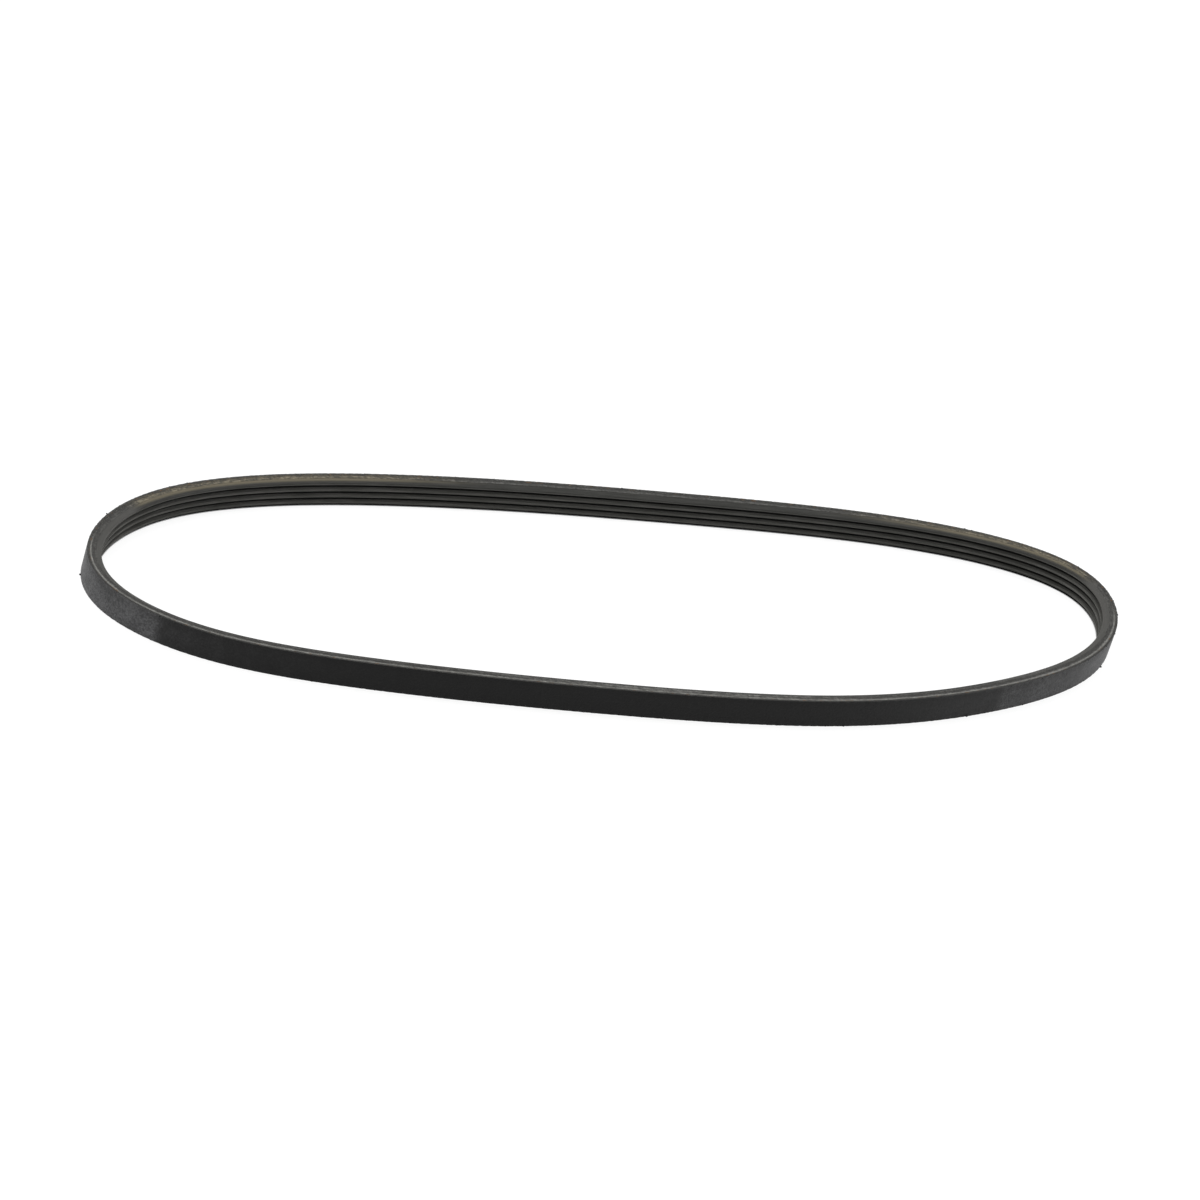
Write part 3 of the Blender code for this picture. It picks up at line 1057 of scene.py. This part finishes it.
def floor_material():
    """Pale floor that lights the belt as it is, and is seen as a white sweep with a light shadow.

    Where rubber overhangs the floor by a few millimetres, the white dims to the floor's true shade.
    """
    stage = settings().stage
    material = bpy.data.materials.new("studio_floor")
    material.use_nodes = True
    tree = material.node_tree
    tree.nodes.clear()
    sheet = NodeSheet(tree)
    plain = sheet.node("ShaderNodeBsdfDiffuse")
    plain.inputs["Color"].default_value = stage.floor_colour[:]
    faint = sheet.node("ShaderNodeBsdfDiffuse")
    glow = sheet.node("ShaderNodeEmission")
    glow.inputs["Strength"].default_value = FLOOR_GLOW
    covered = sheet.node("ShaderNodeAmbientOcclusion")
    covered.inputs["Distance"].default_value = GAP_REACH
    open_sky = sheet.span(covered.outputs["AO"], 0.22, 0.48)
    sheet.feed(glow.inputs["Color"], sheet.mix(open_sky, (0.0, 0.0, 0.0, 1.0), (1.0, 1.0, 1.0, 1.0)))
    sheet.feed(faint.inputs["Color"], sheet.mix(open_sky, (0.01, 0.01, 0.01, 1.0), (0.22, 0.22, 0.22, 1.0)))
    seen = sheet.node("ShaderNodeAddShader")
    tree.links.new(faint.outputs[0], seen.inputs[0])
    tree.links.new(glow.outputs[0], seen.inputs[1])
    end_by_sight(sheet, plain, seen, "ShaderNodeOutputMaterial")
    return material


def build_floor():
    """A square sheet under the belt: a grid of points in the plane just below its lower edge."""
    size = settings().stage.floor_size / 2.0
    side = FLOOR_SQUARES + 1
    axis = np.linspace(-size, size, side)
    x, y = np.meshgrid(axis, axis, indexing="ij")
    points = np.stack([x, y, np.full(x.shape, BELT_LOW[2] - 0.0001)], axis=-1).reshape(-1, 3)
    floor = mesh_from_arrays("studio_floor", points, grid_quads(side, side, False), [floor_material()])
    return floor


def build_world():
    """Even pale surroundings: white where they are seen, softer as light."""
    world = bpy.data.worlds.new("studio_surroundings")
    bpy.context.scene.world = world
    world.use_nodes = True
    tree = world.node_tree
    tree.nodes.clear()
    sheet = NodeSheet(tree)
    shown = sheet.node("ShaderNodeBackground")
    shown.inputs["Strength"].default_value = 1.0
    light = sheet.node("ShaderNodeBackground")
    light.inputs["Strength"].default_value = settings().stage.ambient
    end_by_sight(sheet, light, shown, "ShaderNodeOutputWorld")


def soft_box(name, place, target, width, height, power):
    """A rectangular lamp that faces a point."""
    lamp = bpy.data.lights.new(name, "AREA")
    lamp.shape = "RECTANGLE"
    lamp.size = width
    lamp.size_y = height
    lamp.energy = power
    box = bpy.data.objects.new(name, lamp)
    bpy.context.scene.collection.objects.link(box)
    box.location = place
    box.rotation_euler = (Vector(target) - Vector(place)).to_track_quat("-Z", "Y").to_euler()
    box.visible_camera = False
    return box


def build_camera():
    """The camera: back from its aim along the line of view, turned by its roll."""
    stage = settings().stage
    e, h, r = stage.elevation, stage.heading, stage.roll
    forward = Vector((math.cos(e) * math.cos(h), math.cos(e) * math.sin(h), -math.sin(e)))
    level = Vector((math.sin(h), -math.cos(h), 0.0))
    upright = Vector((math.sin(e) * math.cos(h), math.sin(e) * math.sin(h), math.cos(e)))
    right = level * math.cos(r) + upright * math.sin(r)
    up = upright * math.cos(r) - level * math.sin(r)
    place = Vector(stage.aim) - forward * stage.distance
    lens = bpy.data.cameras.new("studio_camera")
    lens.lens = stage.lens
    lens.sensor_width = 36.0
    lens.clip_end = 60.0
    camera = bpy.data.objects.new("studio_camera", lens)
    bpy.context.scene.collection.objects.link(camera)
    turn = Matrix((right, up, -forward)).transposed().to_4x4()
    camera.matrix_world = Matrix.Translation(place) @ turn
    bpy.context.scene.camera = camera


# Operators.


class BELT_OT_skin(Operator):
    """Build the belt's rubber skin with its ribs, back and cut edges"""

    bl_idname = "belt.skin"
    bl_label = "Belt skin"

    def execute(self, context):
        skin = build_skin()
        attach(skin, "root")
        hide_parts("ribbed_belt")
        return {"FINISHED"}


class BELT_OT_cord_ends(Operator):
    """Build the loose cord fibres along both cut edges"""

    bl_idname = "belt.cord_ends"
    bl_label = "Cord ends"

    def execute(self, context):
        fibres = build_cord_ends()
        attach(fibres, "root")
        return {"FINISHED"}


class BELT_OT_flash_crumbs(Operator):
    """Build the crumbs of moulding flash on the back's corners"""

    bl_idname = "belt.flash_crumbs"
    bl_label = "Flash crumbs"

    def execute(self, context):
        crumbs = build_crumbs()
        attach(crumbs, "root")
        return {"FINISHED"}


class BELT_OT_stage(Operator):
    """Build the floor, the surroundings, the soft boxes and the camera"""

    bl_idname = "belt.stage"
    bl_label = "Stage"

    def execute(self, context):
        stage = settings().stage
        build_floor()
        build_world()
        soft_box(*TOP_BOX, stage.top_power)
        soft_box(*LEFT_BOX, stage.left_power)
        soft_box(*RIGHT_BOX, stage.right_power)
        build_camera()
        context.scene.view_settings.view_transform = "Standard"
        return {"FINISHED"}


class BELT_PT_panel(Panel):
    """Belt settings and operators in the sidebar"""

    bl_idname = "BELT_PT_panel"
    bl_label = "Ribbed belt"
    bl_space_type = "VIEW_3D"
    bl_region_type = "UI"
    bl_category = "Belt"

    def draw(self, context):
        layout = self.layout
        belt = context.scene.belt
        for group, operators in ((belt.shape, ("belt.skin",)),
                                 (belt.cords, ("belt.cord_ends", "belt.flash_crumbs")),
                                 (belt.finish, ()),
                                 (belt.stage, ("belt.stage",))):
            box = layout.box()
            for name in group.bl_rna.properties.keys():
                if name not in ("rna_type", "name"):
                    box.prop(group, name)
            for operator in operators:
                box.operator(operator)


CLASSES = (
    BeltShapeSettings,
    CordSettings,
    FinishSettings,
    StageSettings,
    BeltSettings,
    BELT_OT_skin,
    BELT_OT_cord_ends,
    BELT_OT_flash_crumbs,
    BELT_OT_stage,
    BELT_PT_panel,
)


def register():
    for each in CLASSES:
        bpy.utils.register_class(each)
    bpy.types.Scene.belt = PointerProperty(type=BeltSettings)


def unregister():
    del bpy.types.Scene.belt
    for each in reversed(CLASSES):
        bpy.utils.unregister_class(each)


def main():
    register()
    bpy.ops.belt.skin()
    bpy.ops.belt.cord_ends()
    bpy.ops.belt.flash_crumbs()
    bpy.ops.belt.stage()


if __name__ == "__main__":
    main()
